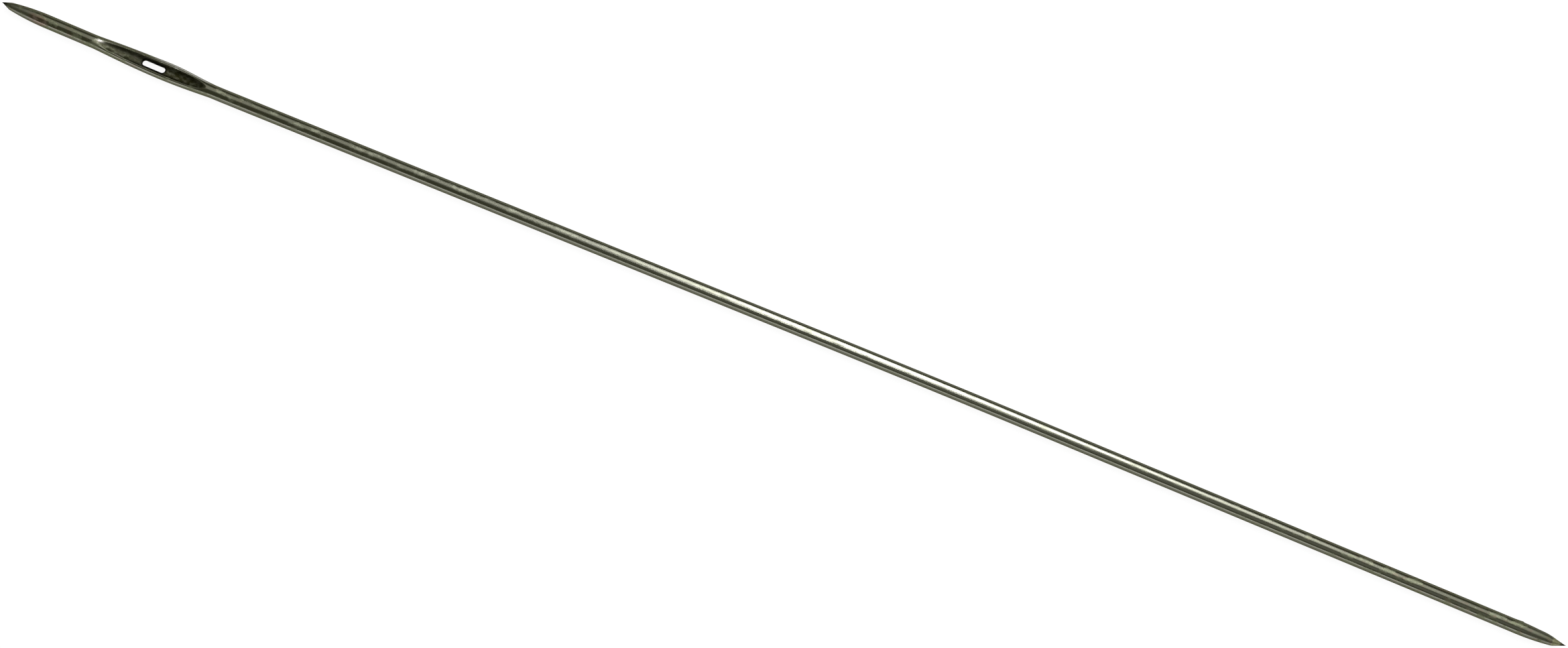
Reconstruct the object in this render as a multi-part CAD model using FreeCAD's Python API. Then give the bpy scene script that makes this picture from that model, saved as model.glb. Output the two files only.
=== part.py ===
"""Double-pointed upholstery needle, made from one piece of steel wire.

A button or mattress needle, which is pushed through a thick pad and back again without being turned round, so both
ends are sharp. Near one end the wire is pressed between two dies. They spread it sideways into two cheeks, sink a
boat-shaped gutter into its upper and its lower face, and leave a thin web between them. The eye is a long slot pierced
through the web, with rounded edges that don't cut the thread. Each end is drawn down in a long rounded taper and then
ground to a short steep cone. Use has left two slight bends in the wire.

The needle lies as it does on a bench: X runs from the eye end to the far point, Y is sideways and Z is up.
Millimetres. The origin is the middle of the needle's outline in plan, on the surface that it lies on.
"""
import FreeCAD, Part
import math
import os

from FreeCAD import Placement, Rotation, Vector

# The wire
needle_length = 254.0  # tip to tip, ten inches
wire_diameter = 2.1  # 14 gauge

# The eye end's point
eye_taper_length = 6.0
eye_cone_length = 1.45
eye_cone_base = 1.16  # diameter where the taper breaks to the cone
eye_tip_lean = 0.06  # the tip lies this far to one side, because the cone is ground by hand

# The far point, ground more on one side
far_taper_length = 5.6
far_cone_length = 2.05
far_cone_base = 1.28
far_tip_lean = 0.2

# The eye, with its distance from the eye end's tip to the middle of the slot
eye_distance = 24.8
slot_length = 3.65
slot_width = 0.96
slot_edge_radius = 0.12
web_thickness = 0.84

# The gutters on both faces
gutter_length = 17.0
gutter_rim_radius = 1.35  # how round the gutter is across the needle

# The cheeks, widest a little beyond the middle of the slot
cheek_width = 2.86  # over both of them
cheek_height = 1.98  # a little less than the wire, which the dies have squeezed
cheek_shift = 1.0
cheek_rise = 10.6  # the length over which they swell out of the wire
cheek_fall = 8.7  # the length over which they run back into it
cheek_softness = 1.25  # 1 gives a plain arc in plan, and more lets them run out softly

# The bends, a sharper one just past the cheeks and a long one near the middle
first_bend_gap = 1.2  # from the end of the cheeks
first_bend_offset = -0.35
first_bend_radius = 100.0
second_bend_distance = 150.5  # from the eye end's tip
second_bend_offset = 0.31
second_bend_radius = 3900.0
far_end_offset = -0.16

# What follows from them
wire_radius = wire_diameter / 2
eye_shoulder = eye_cone_length + eye_taper_length
far_shoulder = far_cone_length + far_taper_length
cheek_middle = eye_distance + cheek_shift
cheek_start = cheek_middle - cheek_rise
cheek_end = cheek_middle + cheek_fall
cheek_sections = 17
first_bend_distance = cheek_end + first_bend_gap

# The corners of the wire's route in plan, from tip to tip
route = [
    Vector(0, 0, 0),
    Vector(first_bend_distance, first_bend_offset, 0),
    Vector(second_bend_distance, second_bend_offset, 0),
    Vector(needle_length, far_end_offset, 0),
]


def along(start, end):
    """The direction from one corner of the route to the next, one millimetre long."""
    return (end - start).normalize()


def place_at(corner, direction):
    """Puts something that was drawn about the X axis at a corner of the route, along the direction given."""
    return Placement(corner, Rotation(Vector(1, 0, 0), direction))


def point(outward, taper_length, cone_length, cone_base, tip_lean):
    """One sharp end with its tip at the origin, pointing along X where outward is 1 and back along it where it's -1.

    The taper is an arc that leaves the wire without a kink, turned about X. The cone on it may lean to one side.
    """
    drop = wire_radius - cone_base / 2
    arc_radius = (taper_length ** 2 + drop ** 2) / (2 * drop)
    middle_radius = wire_radius - arc_radius + math.sqrt(arc_radius ** 2 - (taper_length / 2) ** 2)
    base_x = -outward * cone_length
    middle_x = base_x - outward * taper_length / 2
    shoulder_x = base_x - outward * taper_length
    shoulder = Vector(shoulder_x, wire_radius, 0)
    base = Vector(base_x, cone_base / 2, 0)
    outline = Part.Wire([
        Part.makeLine(Vector(shoulder_x, 0, 0), shoulder),
        Part.Arc(shoulder, Vector(middle_x, middle_radius, 0), base).toShape(),
        Part.makeLine(base, Vector(base_x, 0, 0)),
        Part.makeLine(Vector(base_x, 0, 0), Vector(shoulder_x, 0, 0)),
    ])
    taper = Part.Face(outline).revolve(Vector(0, 0, 0), Vector(1, 0, 0), 360)
    base_ring = Part.Wire([Part.makeCircle(cone_base / 2, Vector(base_x, 0, 0), Vector(1, 0, 0))])
    cone = Part.makeLoft([base_ring, Part.Vertex(0, tip_lean, 0)], True, True)
    return taper.fuse(cone)


def cheeks():
    """The wire where it is squeezed and spreads sideways, as a loft of ovals that are round at both ends."""
    sections = []
    for number in range(cheek_sections):
        share = -math.cos(math.pi * number / (cheek_sections - 1))
        reach = cheek_rise if share < 0 else cheek_fall
        spread = max(0.0, 1 - share ** 2) ** cheek_softness
        half_width = wire_radius + (cheek_width / 2 - wire_radius) * spread
        half_height = wire_radius + (cheek_height / 2 - wire_radius) * spread
        oval = Part.Ellipse(Vector(0, 0, 0), half_width, half_height).toShape()
        upright = Rotation(Vector(0, 1, 0), Vector(0, 0, 1), Vector(1, 0, 0), "ZXY")
        oval.Placement = Placement(Vector(cheek_middle + share * reach, 0, 0), upright)
        sections.append(Part.Wire([oval]))
    return Part.makeLoft(sections, True)


def gutter_die(face):
    """The rim of the wheel-shaped die that sinks one gutter, face 1 for the upper and -1 for the lower."""
    depth = wire_radius - web_thickness / 2
    wheel_radius = ((gutter_length / 2) ** 2 + depth ** 2) / (2 * depth)
    hub = Vector(eye_distance, 0, face * (web_thickness / 2 + wheel_radius))
    return Part.makeTorus(wheel_radius - gutter_rim_radius, gutter_rim_radius, hub, Vector(0, 1, 0))


def eye_punch():
    """The punch that pierces the slot, a bar with half-round ends that runs past both faces."""
    end_radius = slot_width / 2
    straight = slot_length / 2 - end_radius
    left = [Vector(-straight, end_radius, 0), Vector(-slot_length / 2, 0, 0), Vector(-straight, -end_radius, 0)]
    right = [Vector(straight, -end_radius, 0), Vector(slot_length / 2, 0, 0), Vector(straight, end_radius, 0)]
    outline = Part.Wire([
        Part.Arc(*left).toShape(),
        Part.makeLine(left[2], right[0]),
        Part.Arc(*right).toShape(),
        Part.makeLine(right[2], left[0]),
    ])
    punch = Part.Face(outline).extrude(Vector(0, 0, 2 * wire_diameter))
    punch.translate(Vector(eye_distance, 0, -wire_diameter))
    return punch


def mouth_edges(pierced, punch):
    """The edges round the slot's two mouths, so all of its edges but the upright ones between its walls."""
    reach = punch.BoundBox
    reach.enlarge(slot_edge_radius / 2)
    around = [edge for edge in pierced.Edges if all(reach.isInside(vertex.Point) for vertex in edge.Vertexes)]
    return [edge for edge in around if edge.BoundBox.ZLength < web_thickness / 2]


def eye_end():
    """The straight end of the needle from its tip to the end of the cheeks, drawn about X with its tip at the origin."""
    neck = Part.makeCylinder(wire_radius, cheek_start - eye_shoulder, Vector(eye_shoulder, 0, 0), Vector(1, 0, 0))
    sharp = point(-1, eye_taper_length, eye_cone_length, eye_cone_base, eye_tip_lean)
    blank = sharp.fuse([neck, cheeks()])
    pressed = blank.cut([gutter_die(1), gutter_die(-1)])
    punch = eye_punch()
    pierced = pressed.cut(punch)
    return pierced.makeFillet(slot_edge_radius, mouth_edges(pierced, punch))


def bend(before, corner, after, radius):
    """The arc that rounds one corner of the route and touches both of its runs."""
    back = along(corner, before)
    onward = along(corner, after)
    half_turn = (math.pi - back.getAngle(onward)) / 2
    reach = radius * math.tan(half_turn)
    towards_centre = (back + onward).normalize()
    middle = corner + towards_centre * (radius / math.cos(half_turn) - radius)
    return Part.Arc(corner + back * reach, middle, corner + onward * reach)


def bent_wire():
    """The plain wire from the end of the cheeks to the far shoulder, round both bends."""
    first_run = along(route[0], route[1])
    start = route[0] + first_run * cheek_end
    end = route[3] - along(route[2], route[3]) * far_shoulder
    first_bend = bend(route[0], route[1], route[2], first_bend_radius)
    second_bend = bend(route[1], route[2], route[3], second_bend_radius)
    path = Part.Wire([
        Part.makeLine(start, first_bend.StartPoint),
        first_bend.toShape(),
        Part.makeLine(first_bend.EndPoint, second_bend.StartPoint),
        second_bend.toShape(),
        Part.makeLine(second_bend.EndPoint, end),
    ])
    section = Part.Wire([Part.makeCircle(wire_radius, start, first_run)])
    return path.makePipeShell([section], True, True)


def needle():
    """The whole needle in one solid, along its route."""
    near_end = eye_end()
    near_end.Placement = place_at(route[0], along(route[0], route[1]))
    far_end = point(1, far_taper_length, far_cone_length, far_cone_base, far_tip_lean)
    far_end.Placement = place_at(route[3], along(route[2], route[3]))
    return near_end.fuse([bent_wire(), far_end]).removeSplitter().Solids[0]


def on_the_bench(solid):
    """Moves the needle so that its outline is centred over the origin and its underside is at Z = 0."""
    box = solid.optimalBoundingBox()
    solid.translate(Vector(-box.Center.x, -box.Center.y, -box.ZMin))
    return solid


os.makedirs("parts", exist_ok=True)
finished = on_the_bench(needle())
finished.exportStep("parts/needle.step")
size = finished.optimalBoundingBox()
print("size mm", round(size.XLength, 3), round(size.YLength, 3), round(size.ZLength, 3))
print("solids", len(finished.Solids), "valid", finished.isValid(), "volume mm3", round(finished.Volume, 2))
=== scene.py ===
# %% [markdown]
# # A double-pointed upholstery needle
#
# An upholsterer pushes this needle through a thick pad and pulls it back without turning it round, so both ends are
# sharp. It is one piece of drawn steel wire. Near one end two dies have pressed it: they spread it into two cheeks,
# sank a gutter into each face and left a thin web between them, and a punch made the long eye in that web.
#
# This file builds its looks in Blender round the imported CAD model. The CAD model gives the place and the size of
# everything, in metres, and here the needle gets a finer surface, its steel, a floor, a soft light and a camera.

import math

import bmesh
import bpy
import numpy as np
from mathutils import Matrix, Vector


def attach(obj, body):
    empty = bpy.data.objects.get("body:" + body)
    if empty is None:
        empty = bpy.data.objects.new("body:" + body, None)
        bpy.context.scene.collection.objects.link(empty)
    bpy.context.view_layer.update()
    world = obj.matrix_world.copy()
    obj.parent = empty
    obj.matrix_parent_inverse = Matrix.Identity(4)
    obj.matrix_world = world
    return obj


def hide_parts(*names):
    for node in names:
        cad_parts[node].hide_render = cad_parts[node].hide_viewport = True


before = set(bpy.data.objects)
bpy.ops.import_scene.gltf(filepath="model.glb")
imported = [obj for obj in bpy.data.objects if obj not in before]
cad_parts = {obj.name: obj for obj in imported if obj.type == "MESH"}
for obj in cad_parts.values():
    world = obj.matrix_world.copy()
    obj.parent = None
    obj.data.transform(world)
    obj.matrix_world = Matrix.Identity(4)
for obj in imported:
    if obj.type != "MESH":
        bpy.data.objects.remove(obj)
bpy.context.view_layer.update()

# %% [markdown]
# ## The sizes
#
# A needle maker thinks in millimetres, and so does this file until the mesh is finished. The sizes are those of the
# CAD part, and a few marks that are about a tenth of a millimetre are added to them. Distances along the needle start
# at the tip of the eye end, and heights start at the middle of the wire.

# %% The needle's sizes in millimetres
WIRE_RADIUS = 1.05
ROUTE = [(0.0, 0.0), (35.7, -0.35), (150.5, 0.31), (254.0, -0.16)]  # corners of the slightly bent wire, in plan
BEND_RADII = [100.0, 3900.0]
ROUTE_START = (-127.0002, 0.18864)  # where the eye end's tip lies in the CAD model's frame

EYE_TAPER, EYE_CONE, EYE_BREAK, EYE_LEAN = 6.0, 1.45, 0.58, 0.06  # lengths, radius at the kink, tip's side step
FAR_TAPER, FAR_CONE, FAR_BREAK, FAR_LEAN = 5.6, 2.05, 0.64, 0.2
KINK_SOFTNESS, FIRST_RING = 0.03, 0.03  # rounding where a cone meets its taper, and a point's distance to its ring

EYE_AT = 24.8
SLOT_LENGTH, SLOT_WIDTH, LIP = 3.65, 0.96, 0.12
WEB, GUTTER_RIM = 0.84, 1.35
GUTTER_BEFORE, GUTTER_AFTER = 10.4, 8.5  # its reach each side of the eye
STEEP_BEFORE, STEEP_AFTER = 2.4, 4.5  # how bluntly it ends on each side, where 2 is a round arc
CHEEK_AT, CHEEK_RISE, CHEEK_FALL = 25.8, 10.6, 8.7
CHEEK_HALF_WIDTH, CHEEK_HALF_HEIGHT, CHEEK_SOFTNESS = 1.43, 0.99, 1.25

# The +Y side is a little fuller past the eye and before the far cone: each place, its reach and its height.
BULGES = [(28.2, 4.5, 0.1), (250.8, 1.8, 0.07)]
HIGHLIGHT_SPOT_AT, HIGHLIGHT_SPOT_SIDE = 15.9, 0.33  # a painted highlight, a small bright spot where the gutter starts
BURR_AT, BURR_HEIGHT = 246.7, 0.09  # a small dent has raised a burr on the +Y side, near the far shoulder

runs = np.diff(np.array(ROUTE), axis=0)
LENGTH = float(np.hypot(runs[:, 0], runs[:, 1]).sum())
print("length along the wire in mm", round(LENGTH, 4))

# %% [markdown]
# ## The outline of the wire
#
# The blank is drawn wire, round all along, and its ends are ground on a wheel while it turns: first a long rounded
# taper, then a short steep cone. So it is a turned shape, and half of its outline is enough to make it. The outline
# needs many points where the shape changes and few where the wire is plain.


# %% The radius all along the wire
def soft_min(one, other, softness):
    """The lower of two heights, rounded over where they cross."""
    overlap = np.maximum(softness - np.abs(one - other), 0.0) / softness
    return np.minimum(one, other) - overlap ** 2 * softness / 4


def end_radius(distance, taper, cone, kink_radius):
    """The needle's radius at a distance from one of its tips."""
    drop = WIRE_RADIUS - kink_radius
    arc = (taper ** 2 + drop ** 2) / (2 * drop)
    past_shoulder = np.clip(cone + taper - distance, 0, None)
    on_taper = WIRE_RADIUS - arc + np.sqrt(arc ** 2 - past_shoulder ** 2)
    return soft_min(on_taper, kink_radius * distance / cone, KINK_SOFTNESS)


def stretch(start, end, gap):
    """Evenly spaced places from start to end, where end is left for the next stretch."""
    count = max(1, round((end - start) / gap))
    return list(np.linspace(start, end, count, endpoint=False))


far_kink = LENGTH - FAR_CONE
stations = np.array(
    stretch(FIRST_RING, 0.3, 0.045)
    + stretch(0.3, EYE_CONE - 0.12, 0.1)
    + stretch(EYE_CONE - 0.12, EYE_CONE + 0.12, 0.024)
    + stretch(EYE_CONE + 0.12, 8.0, 0.25)
    + stretch(8.0, EYE_AT - 10.0, 0.4)
    + stretch(EYE_AT - 10.0, EYE_AT + 10.2, 0.1)
    + stretch(EYE_AT + 10.2, 38.0, 0.25)
    + stretch(38.0, 245.0, 2.3)
    + stretch(245.0, 248.0, 0.06)
    + stretch(248.0, far_kink - 0.12, 0.25)
    + stretch(far_kink - 0.12, far_kink + 0.12, 0.024)
    + stretch(far_kink + 0.12, LENGTH - 0.3, 0.1)
    + stretch(LENGTH - 0.3, LENGTH - FIRST_RING, 0.045)
    + [LENGTH - FIRST_RING]
)
near_radii = end_radius(stations, EYE_TAPER, EYE_CONE, EYE_BREAK)
far_radii = end_radius(LENGTH - stations, FAR_TAPER, FAR_CONE, FAR_BREAK)
radii = np.minimum(near_radii, far_radii)
print("stations", len(stations))

# %% [markdown]
# ## Turning the blank
#
# A cylinder has rings only at its ends. So the outline is drawn as one chain of edges, each extruded from the last,
# and spun round the X axis. The two points on the axis would be copied at each step of the spin, so copies that lie
# on each other are merged afterwards.

# %% The outline is extruded point by point, then spun
AROUND = 128

steel = bmesh.new()
corner = steel.verts.new((0, 0, 0))
for x, z in [*zip(stations, radii), (LENGTH, 0)]:
    corner = bmesh.ops.extrude_vert_indiv(steel, verts=[corner])["verts"][0]
    corner.co = (x, 0, z)
bmesh.ops.spin(
    steel, geom=steel.verts[:] + steel.edges[:], cent=(0, 0, 0), axis=(1, 0, 0), dvec=(0, 0, 0),
    angle=2 * math.pi, steps=AROUND, use_merge=True,
)
bmesh.ops.remove_doubles(steel, verts=steel.verts, dist=1e-5)
print("blank of", len(steel.faces), "faces, open edges", sum(edge.is_boundary for edge in steel.edges))

# %% [markdown]
# ## Windows for the eye
#
# The eye goes through the web, so the blank needs an opening above and one below. A Boolean could cut them, but it
# leaves long thin faces that shade badly round the slot. Here a block of faces is taken out of each side while the
# blank is still a plain grid. Later the edge of each window is extruded inwards to the slot.

# %% A block of faces comes out above and below
WINDOW_REACH = SLOT_LENGTH / 2 + LIP + 0.11
WINDOW_SHARE = 0.4714  # of the half width, so ten faces each side of the middle


def in_window(place):
    """Whether a place on the blank lies over or under the eye."""
    return abs(place.x - EYE_AT) < WINDOW_REACH and abs(place.y) < WINDOW_SHARE * WIRE_RADIUS


bmesh.ops.delete(
    steel, geom=[face for face in steel.faces if in_window(face.calc_center_median())], context="FACES"
)
open_edges = [edge for edge in steel.edges if edge.is_boundary]
windows = {side: [edge for edge in open_edges if side * edge.verts[0].co.z > 0] for side in (1, -1)}
print("window edges", {side: len(edges) for side, edges in windows.items()})

# %% [markdown]
# ## The pressed section
#
# Two things change the round section: the cheeks that the dies spread and the gutters that they sank. Sculpting them
# by hand would be slow and uneven. Each one is a short formula from the maker's own sizes, and a soft minimum joins
# them, because the real edges are polished and a little round. The gutter starts very softly on the near side, so
# there it is blended in.


# %% Cheeks and gutters, as formulas
def cheek_spread(along):
    """How far the dies have spread the wire, from 0 to 1."""
    reach = np.where(along < CHEEK_AT, CHEEK_RISE, CHEEK_FALL)
    return np.clip(1 - ((along - CHEEK_AT) / reach) ** 2, 0, None) ** CHEEK_SOFTNESS


def gutter_height(along, across):
    """The height of the gutter's floor above the middle of the wire, which the die's round rim has pressed."""
    before_eye = along < EYE_AT
    reach = np.where(before_eye, GUTTER_BEFORE, GUTTER_AFTER)
    climb = np.abs((along - EYE_AT) / reach) ** np.where(before_eye, STEEP_BEFORE, STEEP_AFTER)
    rim = GUTTER_RIM - np.sqrt(np.clip(GUTTER_RIM ** 2 - across ** 2, 0, None))
    return WEB / 2 + rim + (WIRE_RADIUS - WEB / 2) * np.minimum(climb, 20.0)


def smooth_share(value, low, high):
    """Goes smoothly from 0 to 1 as a value goes from low to high, where low may also be the larger one."""
    share = np.clip((value - low) / (high - low), 0.0, 1.0)
    return share * share * (3 - 2 * share)


def pressed_in(along):
    """How fully the gutter is pressed, from 0 near its soft start to 1 from there on."""
    return smooth_share(along, EYE_AT - 10.8, EYE_AT - 7.2)


# %% Every vertex of the blank moves to its real section
vertices = list(steel.verts)
along, blank_y, blank_z = np.array([vertex.co for vertex in vertices]).T
radius = np.maximum(np.hypot(blank_y, blank_z), 1e-9)
spread = cheek_spread(along)
half_width = radius + (CHEEK_HALF_WIDTH - WIRE_RADIUS) * spread
half_height = radius + (CHEEK_HALF_HEIGHT - WIRE_RADIUS) * spread
across = half_width * blank_y / radius
oval_height = half_height * np.abs(blank_z) / radius
edge_softness = np.interp(along, [EYE_AT - 7, EYE_AT], [0.22, 0.06])
pressed_height = soft_min(oval_height, gutter_height(along, across), edge_softness)
height = (oval_height + (pressed_height - oval_height) * pressed_in(along)) * np.sign(blank_z)
lean = np.interp(along, [0, EYE_CONE, far_kink, LENGTH], [EYE_LEAN, 0, 0, FAR_LEAN])

for bulge_at, reach, bulge in BULGES:
    share = np.clip(1 - ((along - bulge_at) / reach) ** 2, 0, None) ** 2
    across = across + bulge * share * np.clip(blank_y / radius, 0, None) ** 2

burr_rise = np.interp(along, [BURR_AT - 1.3, BURR_AT - 0.3, BURR_AT, BURR_AT + 0.16], [0, 0.6, 1, 0])
burr_side = np.clip(blank_y / radius, 0, None) ** 6
across = across + BURR_HEIGHT * burr_rise * burr_side

for vertex, place in zip(vertices, np.column_stack([along, across + lean, height])):
    vertex.co = place
print("widest", round(2 * across.max(), 3), "mm")

# %% [markdown]
# ## The eye
#
# The punch leaves sharp edges that would cut the thread, so the maker rounds them. From the edge of each window the
# surface first runs down the gutter to the slot, then turns over a small round lip and goes straight down the wall.
# Each of these is one more ring extruded from the last, and the walls are bridged between the two lips.


# %% Rings from each window to the slot, over the lip
def next_ring(mesh, ring):
    """Extrudes an open ring of edges where it is, and gives the new ring's edges and vertices."""
    made = bmesh.ops.extrude_edge_only(mesh, edges=ring)["geom"]
    edges = [part for part in made if isinstance(part, bmesh.types.BMEdge) and part.is_boundary]
    return edges, [part for part in made if isinstance(part, bmesh.types.BMVert)]


def slot_place(place, outside):
    """The point next to a place that lies a given distance outside the slot's outline."""
    straight = (SLOT_LENGTH - SLOT_WIDTH) / 2
    centre = Vector((EYE_AT + max(-straight, min(straight, place.x - EYE_AT)), 0))
    return centre + (place.xy - centre).normalized() * (SLOT_WIDTH / 2 + outside)


def face_height(place):
    """The height of the gutter's surface at a place in plan."""
    return float(gutter_height(place.x, place.y))


def towards_slot(place, side, share, outside):
    """A place on the gutter, a share of the way from a window's edge to the slot's outline."""
    flat = place.xy.lerp(slot_place(place, outside), share)
    return Vector((flat.x, flat.y, side * face_height(flat)))


def on_lip(place, side, share):
    """A place on the round lip, from the gutter at 0 to the slot's wall at 1."""
    start = slot_place(place, LIP)
    corner = slot_place(place, 0)
    heights = (face_height(start), face_height(corner), face_height(corner) - LIP)
    flat = corner.lerp(start, (1 - share) ** 2)
    bend = ((1 - share) ** 2, 2 * share * (1 - share), share ** 2)
    return Vector((flat.x, flat.y, side * sum(part * level for part, level in zip(bend, heights))))


LIP_STEPS = 6
mouths = []
for side, edges in windows.items():
    for share in (0.5, 1.0):
        edges, vertices = next_ring(steel, edges)
        for vertex in vertices:
            vertex.co = towards_slot(vertex.co, side, share, LIP)
    for step in range(1, LIP_STEPS + 1):
        edges, vertices = next_ring(steel, edges)
        for vertex in vertices:
            vertex.co = on_lip(vertex.co, side, step / LIP_STEPS)
    mouths += edges
bmesh.ops.bridge_loops(steel, edges=mouths)
print("open edges left", sum(edge.is_boundary for edge in steel.edges))

# %% [markdown]
# ## Pressed and ground places, and painted light and shade
#
# The steel is duller where the dies pressed it, because no polishing wheel reaches the gutters, and its colour there
# is darker unpolished steel with painted shade on top, near black. The far cone is as the grinding wheel left it, and
# the tapers are half as dull; the far cone's lighter colour is a painted reflection of the light that its facet
# catches.
# The pale rim of one cheek and a bright spot where the gutter starts are painted highlights, painted shade darkens the
# steel round the slot, and the points are darker. The material could guess those places from the shape, but the mesh
# knows them: each vertex stores four shares, from 0 to 1, in attributes that the material reads.


# %% Where a place lies against the slot and the gutter
def past_slot(place):
    """How far a place lies outside the slot's outline in plan, and 0 inside it."""
    straight = (SLOT_LENGTH - SLOT_WIDTH) / 2
    from_middle = abs(place.x - EYE_AT)
    return max(math.hypot(max(from_middle - straight, 0.0), place.y) - SLOT_WIDTH / 2, 0.0)


def oval_size(along):
    """Half the width and half the height that the section would have without its gutters."""
    spread = float(cheek_spread(along))
    return (
        WIRE_RADIUS + (CHEEK_HALF_WIDTH - WIRE_RADIUS) * spread,
        WIRE_RADIUS + (CHEEK_HALF_HEIGHT - WIRE_RADIUS) * spread,
    )


def spot_highlight(x, y):
    """How strongly a painted highlight brightens a place on the upper face."""
    return 0.8 * math.exp(-(((x - HIGHLIGHT_SPOT_AT) / 0.5) ** 2) - ((y - HIGHLIGHT_SPOT_SIDE) / 0.15) ** 2)


# %% Each vertex stores how pressed and ground it is, and where painted highlights and shade fall
FULL_DEPTH = 0.16  # the depth below the oval at which the steel is as dull, and its painted shade as dark, as on the gutter's floor
TAPER_GROUND, POINT_DARKENING = 0.5, 0.8

# How pressed a place is sets its dullness and the gutters' painted shade.
pressed = steel.verts.layers.float.new("pressed")
ground = steel.verts.layers.float.new("ground")
# The third share marks painted highlights.
painted_highlight = steel.verts.layers.float.new("painted_highlight")
# The fourth share marks painted shade round the slot and the darker points.
slot_shade_and_dark_points = steel.verts.layers.float.new("slot_shade_and_dark_points")
for vertex in steel.verts:
    x, y, z = vertex.co
    on_taper = max(smooth_share(x, EYE_CONE + EYE_TAPER, 3.0), smooth_share(x, far_kink - FAR_TAPER, far_kink - 3.0))
    on_far_cone = smooth_share(x, far_kink - 0.8, far_kink + 0.1)
    at_points = max(smooth_share(x, 1.3, 0.5), smooth_share(x, LENGTH - 1.2, LENGTH - 0.7))
    # Ground steel is duller, and the far cone also gets a lighter colour that is a painted reflection.
    vertex[ground] = max(TAPER_GROUND * on_taper, on_far_cone)
    # Both points are darker in colour.
    vertex[slot_shade_and_dark_points] = POINT_DARKENING * at_points
    if abs(x - EYE_AT) > GUTTER_BEFORE + 1:
        continue
    wide, tall = oval_size(x)
    depth = tall * math.sqrt(max(0.0, 1 - (y / wide) ** 2)) - abs(z)
    vertex[pressed] = smooth_share(depth, 0.0, FULL_DEPTH) * smooth_share(x, EYE_AT - 10.2, EYE_AT - 8.6)
    vertex[pressed] *= 0.9 + 0.1 * smooth_share(x, EYE_AT - 1, EYE_AT + 3)
    # The pale rim of the cheek on the +Y side and the bright spot are painted highlights.
    along_rim = smooth_share(x, EYE_AT - 1.5, EYE_AT + 2.0) * smooth_share(x, EYE_AT + 9.6, EYE_AT + 8.0)
    rim_highlight = along_rim * smooth_share(y / wide, 0.6, 0.75) * (1 - vertex[pressed])
    vertex[painted_highlight] = max(rim_highlight, spot_highlight(x, y) if z > 0 else 0.0)
    # Painted shade darkens the steel round the slot.
    vertex[slot_shade_and_dark_points] = smooth_share(past_slot(vertex.co), 0.35, 0.1)
print("most pressed", round(max(vertex[pressed] for vertex in steel.verts), 3))

# %% [markdown]
# ## A needle that has been used
#
# Pushing a long needle through stuffing bends it a little, once just past the cheeks and once near the middle. A
# Curve modifier could bend the mesh, but then its place would depend on a second object. The heading changes along
# the wire in a way that a few numbers describe, and adding it up gives the middle line of the wire.

# %% The middle line of the bent wire
headings = [math.atan2(run[1], run[0]) for run in runs]
corners = np.cumsum([math.hypot(*run) for run in runs])
turn_places, turn_headings = [0.0], [headings[0]]
for corner, radius_of_bend, before, after in zip(corners, BEND_RADII, headings, headings[1:]):
    reach = radius_of_bend * math.tan(abs(after - before) / 2)
    turn_places += [corner - reach, corner + reach]
    turn_headings += [before, after]
turn_places.append(LENGTH)
turn_headings.append(headings[-1])

steps = np.linspace(0, LENGTH, 20001)
heading = np.interp(steps, turn_places, turn_headings)
middle = (heading[1:] + heading[:-1]) / 2
line_x = ROUTE_START[0] + np.concatenate([[0], np.cumsum(np.cos(middle))]) * steps[1]
line_y = ROUTE_START[1] + np.concatenate([[0], np.cumsum(np.sin(middle))]) * steps[1]
print("far end in mm", round(line_x[-1], 3), round(line_y[-1], 3))

# %% Every vertex moves onto that line
vertices = list(steel.verts)
straight = np.array([vertex.co for vertex in vertices])
turn = np.interp(straight[:, 0], steps, heading)
bent_x = np.interp(straight[:, 0], steps, line_x) - straight[:, 1] * np.sin(turn)
bent_y = np.interp(straight[:, 0], steps, line_y) + straight[:, 1] * np.cos(turn)
for vertex, place in zip(vertices, np.column_stack([bent_x, bent_y, straight[:, 2]])):
    vertex.co = place

MILLIMETRE = 0.001
INSIDE = (0.99999, 0.998, 0.9985)  # the CAD model's facets lie a hair inside its round faces, and so does this mesh
bmesh.ops.scale(steel, verts=steel.verts, vec=[MILLIMETRE * share for share in INSIDE])
bmesh.ops.translate(steel, verts=steel.verts, vec=(0, 0, WIRE_RADIUS * MILLIMETRE))
bmesh.ops.recalc_face_normals(steel, faces=steel.faces)
for face in steel.faces:
    face.smooth = True

mesh = bpy.data.meshes.new("steel_needle")
steel.to_mesh(mesh)
steel.free()
needle = bpy.data.objects.new("steel_needle", mesh)
bpy.context.scene.collection.objects.link(needle)
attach(needle, "root")
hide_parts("needle")
print("needle of", sum(len(polygon.vertices) - 2 for polygon in mesh.polygons), "triangles")

# %% [markdown]
# ## A shorthand for materials
#
# A procedural material is a sum of patterns. Adding its nodes one by one hides that sum, so this small class lets a
# node's output be used in plain arithmetic, where each sign adds a Math node. One method makes every other node.


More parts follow.
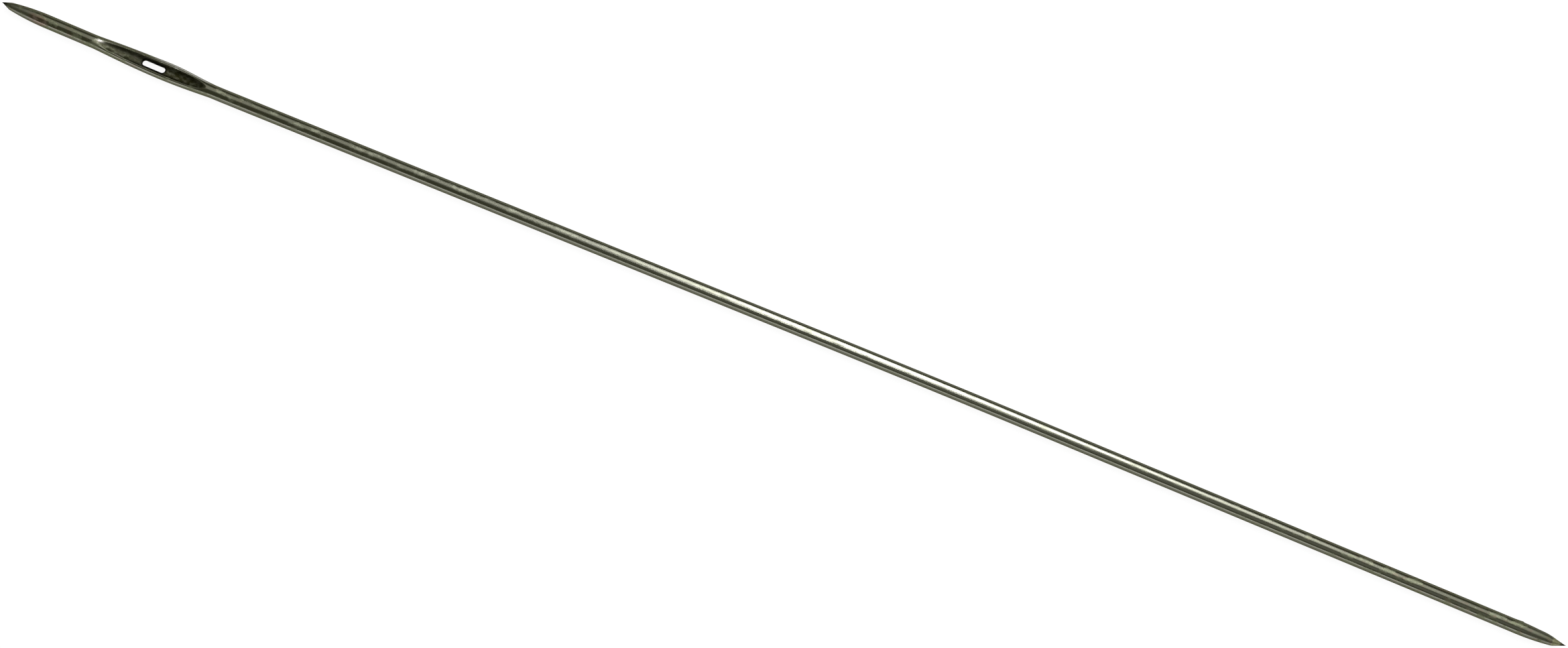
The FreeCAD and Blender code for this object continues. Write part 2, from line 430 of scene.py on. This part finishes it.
# %% A node's output that can be added and multiplied
class Flow:
    """One output of a shader node."""

    def __init__(self, tree, socket=None):
        self.tree = tree
        self.socket = socket

    def node(self, kind, settings=None, inputs=None, output=0):
        """Adds a node, first with its settings and then with its inputs, and gives one of its outputs."""
        made = self.tree.nodes.new(kind)
        for name, value in (settings or {}).items():
            setattr(made, name, value)
        for name, value in (inputs or {}).items():
            if isinstance(value, Flow):
                self.tree.links.new(value.socket, made.inputs[name])
            else:
                made.inputs[name].default_value = value
        return Flow(self.tree, made.outputs[output] if made.outputs else None)

    def math(self, operation, first, second):
        return self.node("ShaderNodeMath", {"operation": operation}, {0: first, 1: second})

    def __add__(self, other):
        return self.math("ADD", self, other)

    def __radd__(self, other):
        return self.math("ADD", other, self)

    def __sub__(self, other):
        return self.math("SUBTRACT", self, other)

    def __rsub__(self, other):
        return self.math("SUBTRACT", other, self)

    def __mul__(self, other):
        return self.math("MULTIPLY", self, other)

    def __rmul__(self, other):
        return self.math("MULTIPLY", other, self)

    def __abs__(self):
        return self.node("ShaderNodeMath", {"operation": "ABSOLUTE"}, {0: self})

    def x(self):
        """The first of these coordinates."""
        return self.node("ShaderNodeSeparateXYZ", {}, {0: self}, output="X")

    def ramp(self, low, high, start=0.0, end=1.0):
        """Goes smoothly from start to end as this value goes from low to high."""
        return self.node(
            "ShaderNodeMapRange",
            {"interpolation_type": "SMOOTHSTEP"},
            {"Value": self, "From Min": low, "From Max": high, "To Min": start, "To Max": end},
        )

    def stretched(self, stretch):
        """These coordinates, multiplied along each axis."""
        return self.node("ShaderNodeVectorMath", {"operation": "MULTIPLY"}, {0: self, 1: stretch})

    def moved(self, step):
        """These coordinates, moved by a step."""
        return self.node("ShaderNodeVectorMath", {"operation": "ADD"}, {0: self, 1: step})

    def length(self):
        """The distance of these coordinates from their origin."""
        return self.node("ShaderNodeVectorMath", {"operation": "LENGTH"}, {0: self}, output="Value")

    def noise(self, detail=2.0, roughness=0.5):
        """Soft noise with features one unit across, from about 0.2 to 0.8."""
        return self.node(
            "ShaderNodeTexNoise", {}, {"Vector": self, "Scale": 1.0, "Detail": detail, "Roughness": roughness}
        )

    def mix(self, colour, other):
        """A colour where this share is 0 and another where it is 1. A Mix node has its colours on sockets 6 and 7."""
        return self.node("ShaderNodeMix", {"data_type": "RGBA"}, {0: self, 6: colour, 7: other}, output=2)


def new_material(name):
    """An empty material, and a start for the nodes of its tree."""
    made = bpy.data.materials.new(name)
    made.use_nodes = True
    made.node_tree.nodes.clear()
    return made, Flow(made.node_tree)


# %% [markdown]
# ## The steel
#
# Drawn steel is smooth along the needle and finely scored round it, because the wire was pulled through a plate. The
# scores spread a reflection across the needle and leave it sharp along it. Anisotropy could do that with one number,
# but real scores also catch the light one by one, so they are a bump here. Handling has left a thin olive tarnish in
# soft blotches, thickest towards both ends, with a brown spot near the eye end's tip.
#
# Each pattern is a noise, stretched to the shape of what it stands for and read in millimetres. The needle is long and
# thin, so the patterns are wide along it and narrow across it.

# %% The patterns of drawing, handling and stains, and the mottle of the gutters' painted shade
steel_look, tree = new_material("tarnished_steel")
place = tree.node("ShaderNodeTexCoord", output="Object")
mm = place.node("ShaderNodeVectorMath", {"operation": "SCALE"}, {0: place, "Scale": 1 / MILLIMETRE})
pressed_share = tree.node("ShaderNodeAttribute", {"attribute_name": "pressed"}, output="Fac")
ground_share = tree.node("ShaderNodeAttribute", {"attribute_name": "ground"}, output="Fac")
painted_highlight_share = tree.node("ShaderNodeAttribute", {"attribute_name": "painted_highlight"}, output="Fac")
slot_shade_and_dark_points_share = tree.node("ShaderNodeAttribute", {"attribute_name": "slot_shade_and_dark_points"}, output="Fac")
handled = abs(mm.x()).ramp(60.0, 118.0)  # from the middle of the needle towards both ends

BROWN_AT = (-120.8, -0.35, 1.9)  # in mm from the CAD model's origin
scores = mm.stretched((0.06, 11.0, 11.0)).noise(3.0, 0.6)
streaks = mm.stretched((0.12, 3.2, 3.2)).noise(2.0)
blotches = mm.stretched((0.55, 1.1, 1.1)).noise(3.0, 0.6)
stains = mm.moved((31.0, 7.0, 3.0)).stretched((0.9, 1.6, 1.6)).noise(2.0)
# A mottle that varies the gutters' painted shade.
gutter_mottle = mm.moved((5.0, 40.0, 9.0)).stretched((1.3, 2.2, 2.2)).noise(3.0, 0.6)
brown_patch = 1.0 - mm.moved([-part for part in BROWN_AT]).stretched((0.55, 1.2, 1.2)).length()
print("patterns in", len(steel_look.node_tree.nodes), "nodes")

# %% [markdown]
# A metal's Base Color is the share of light that it reflects, so these colours are dark for a steel. Tarnish does
# that. It also takes away the bright rim that clean metal shows where it is seen at a low angle, and Specular Tint is
# the number for that.

# %% The colours, from clean steel to painted highlights and shade
STEEL = (0.127, 0.128, 0.096, 1.0)
OLIVE = (0.112, 0.121, 0.068, 1.0)
BROWN = (0.136, 0.106, 0.077, 1.0)
BARE = (0.150, 0.150, 0.122, 1.0)
# Painted shade: the gutters' near-black colour, on top of their darker unpolished steel.
GUTTER_STEEL_AND_SHADE = (0.012, 0.012, 0.004, 1.0)
# Painted reflection: the far cone's lighter olive, the light that its facet catches.
FAR_CONE_PAINTED_LIGHT = (0.245, 0.245, 0.145, 1.0)
# Painted highlight: the pale cheek rim and the bright spot where the gutter starts.
PAINTED_HIGHLIGHT = (0.340, 0.335, 0.300, 1.0)
# Painted shade round the slot, and the darker points.
SLOT_SHADE_AND_DARK_POINTS = (0.006, 0.006, 0.004, 1.0)

olive_share = blotches.ramp(0.42, 0.62, 0.0, 0.8) * (0.25 + 0.75 * handled)
brown_share = stains.ramp(0.54, 0.64, 0.0, 0.5) * (0.15 + 0.85 * handled) + brown_patch.ramp(-0.2, 0.5)
bare_share = streaks.ramp(0.55, 0.75, 0.0, 0.5)
# Painted shade in the gutters, mottled.
gutter_steel_and_shade_share = pressed_share * gutter_mottle.ramp(0.3, 0.6, 0.7, 1.0)
colour = olive_share.mix(STEEL, OLIVE)
colour = brown_share.mix(colour, BROWN)
colour = bare_share.mix(colour, BARE)
# Painted reflection on the far cone.
colour = ground_share.ramp(TAPER_GROUND, 1.0).mix(colour, FAR_CONE_PAINTED_LIGHT)
colour = gutter_steel_and_shade_share.mix(colour, GUTTER_STEEL_AND_SHADE)
# Painted highlights on the cheek rim and the spot.
colour = painted_highlight_share.mix(colour, PAINTED_HIGHLIGHT)
# Painted shade round the slot, and the darker points.
colour = slot_shade_and_dark_points_share.mix(colour, SLOT_SHADE_AND_DARK_POINTS)

# %% The finish, and the steel as a whole
SCORE_DEPTH = 0.0000018  # in metres
LOW_ANGLE_TINT = (0.35, 0.35, 0.29, 1.0)

matt_share = blotches.ramp(0.5, 0.64)
roughness = 0.17 + 0.1 * matt_share + 0.2 * matt_share * handled + 0.22 * pressed_share + 0.3 * ground_share
bump = tree.node(
    "ShaderNodeBump",
    {},
    {"Strength": 1.0, "Distance": SCORE_DEPTH, "Height": scores + 0.4 * streaks},
    output="Normal",
)
metal = tree.node(
    "ShaderNodeBsdfPrincipled",
    {},
    {
        "Base Color": colour,
        "Metallic": 1.0,
        "Roughness": roughness,
        "Specular Tint": LOW_ANGLE_TINT,
        "Normal": bump,
    },
)
tree.node("ShaderNodeOutputMaterial", {}, {"Surface": metal})
mesh.materials.append(steel_look)
print("steel in", len(steel_look.node_tree.nodes), "nodes")

# %% [markdown]
# ## The floor
#
# The photograph shows the needle on white. A stronger lamp would make a grey floor white, but it would also burn out
# the steel. So the floor gives off a little light of its own, which only the camera and mirror-like surfaces see, and
# the rest of its brightness is real light, so the needle keeps its shadow.

# %% A plain white floor
FLOOR_REACH = 4.0  # in metres, each way
PAPER = (0.10, 0.10, 0.10, 1.0)
GLOW = 0.92

floor_mesh = bpy.data.meshes.new("floor")
floor_sheet = bmesh.new()
bmesh.ops.create_grid(floor_sheet, x_segments=1, y_segments=1, size=FLOOR_REACH)
floor_sheet.to_mesh(floor_mesh)
floor_sheet.free()
floor = bpy.data.objects.new("floor", floor_mesh)
bpy.context.scene.collection.objects.link(floor)

floor_look, tree = new_material("white_floor")
by_camera, by_gloss, by_glass = (
    tree.node("ShaderNodeLightPath", output=name) for name in ("Is Camera Ray", "Is Glossy Ray", "Is Transmission Ray")
)
paper = tree.node("ShaderNodeBsdfDiffuse", {}, {"Color": PAPER})
glow = tree.node(
    "ShaderNodeEmission", {}, {"Color": (1.0, 1.0, 1.0, 1.0), "Strength": GLOW * (by_camera + by_gloss + by_glass)}
)
tree.node("ShaderNodeOutputMaterial", {}, {"Surface": tree.node("ShaderNodeAddShader", {}, {0: paper, 1: glow})})
floor_mesh.materials.append(floor_look)
print("floor", 2 * FLOOR_REACH, "m wide")

# %% [markdown]
# ## Light
#
# Semi-bright wire is a mirror, so its light and dark bands are pictures of the room. A round wire turns a reflection
# by twice its own slope, so a band's place across the wire says at which angle its light hangs. One big lamp would
# make one broad band. So each band has its own softbox here, laid along the needle as a strip light is for cutlery.
#
# Three boxes over the middle make the bright band, and the low one widens it for a short way. A dimmer one carries it
# on to the sides, and a wide one gives the grey band along the rest. Two low ones on the camera's side light the lower
# edge, and the dark line between the bands is the unlit part of the room.


# %% A softbox that the needle mirrors
def softbox(name, x_range, turns, distance, radiance, colour=(1.0, 1.0, 1.0)):
    """A strip light along the needle, between two angles in degrees from straight above towards +Y."""
    turn, spread = sum(turns) / 2, (turns[1] - turns[0]) / 2
    size = (x_range[1] - x_range[0], 2 * distance * math.tan(math.radians(spread)))
    data = bpy.data.lights.new(name, "AREA")
    data.shape = "RECTANGLE"
    data.size, data.size_y = size
    data.energy = radiance * math.pi * size[0] * size[1]
    data.color = colour
    lamp = bpy.data.objects.new(name, data)
    lamp.matrix_world = (
        Matrix.Translation((sum(x_range) / 2, 0, 0))
        @ Matrix.Rotation(math.radians(-turn), 4, "X")
        @ Matrix.Translation((0, 0, distance))
    )
    lamp.visible_camera = False
    bpy.context.scene.collection.objects.link(lamp)


COOL = (1.0, 1.0, 1.15)
softbox("softbox", (-0.038, 0.170), (12.5, 46), 1.30, 14.0, COOL)
softbox("softbox_high", (-0.045, 0.115), (46, 60), 1.30, 9.5, COOL)
softbox("softbox_low", (0.000, 0.042), (-15, 11), 1.30, 22.0, COOL)
softbox("softbox_edge", (-0.020, 0.270), (2, 45), 1.31, 2.1, (1.0, 1.0, 1.1))
softbox("wide_softbox", (-0.62, 1.50), (-1, 49), 1.32, 0.87)
softbox("low_wall", (-0.06, 0.45), (-50, -14), 1.33, 0.34, COOL)
softbox("low_card", (-0.8, 0.8), (-89.5, -71), 0.60, 2.3, COOL)
print("lamps", sorted(lamp.name for lamp in bpy.data.lights))

# %% [markdown]
# The room itself is a dim olive grey. It is pale only past the two ends of the needle, because a needle that is looked
# at end on mirrors nothing else.

# %% A dim room with pale ends
DIM, PALE = (0.205, 0.210, 0.142, 1.0), (0.80, 0.80, 0.78, 1.0)
world = bpy.data.worlds.new("room")
bpy.context.scene.world = world
world.use_nodes = True
world.node_tree.nodes.clear()
room = Flow(world.node_tree)
direction = room.node("ShaderNodeTexCoord", output="Generated")
end_light = abs(direction.x()).ramp(0.82, 0.98)
background = room.node("ShaderNodeBackground", {}, {"Color": end_light.mix(DIM, PALE), "Strength": 1.0})
room.node("ShaderNodeOutputWorld", {}, {"Surface": background})
print("room in", len(world.node_tree.nodes), "nodes")

# %% [markdown]
# ## The camera
#
# The photograph looks almost straight down on the needle, tilted a little towards its -Y side, and it is turned so
# that the needle runs from the top left corner to the bottom right one. Both tips lie three pixels inside the frame.

# %% The photograph's view
PHOTO_WIDTH = 2339
NEAR_TIP, FAR_TIP = Vector((3.0, 3.0)), Vector((2336.0, 963.5))  # in pixels of the photograph, from its top left
TILT = math.radians(10.5)
LENS, SENSOR = 100.0, 36.0
AIM = 0.00005  # in metres, how far to the +Y side of the near tip's line the camera is aimed

span = FAR_TIP - NEAR_TIP
slope = math.atan2(span.y, span.x)
pixel = ROUTE[-1][0] * MILLIMETRE / span.length
distance = LENS / SENSOR * PHOTO_WIDTH * pixel
towards_camera = Vector((0, -math.sin(TILT), math.cos(TILT)))
over_needle = Vector((0, math.cos(TILT), math.sin(TILT)))
right = math.cos(slope) * Vector((1, 0, 0)) + math.sin(slope) * over_needle
up = towards_camera.cross(right)

camera_data = bpy.data.cameras.new("photograph")
camera_data.lens = LENS
camera_data.sensor_width = SENSOR
camera = bpy.data.objects.new("photograph", camera_data)
bpy.context.scene.collection.objects.link(camera)
target = Vector((0, ROUTE_START[1] * MILLIMETRE + AIM, WIRE_RADIUS * MILLIMETRE))
camera.matrix_world = Matrix.Translation(target + towards_camera * distance) @ Matrix(
    (right, up, towards_camera)
).transposed().to_4x4()
bpy.context.scene.camera = camera
bpy.context.scene.view_settings.view_transform = "Standard"
print("camera at", round(distance, 4), "m")
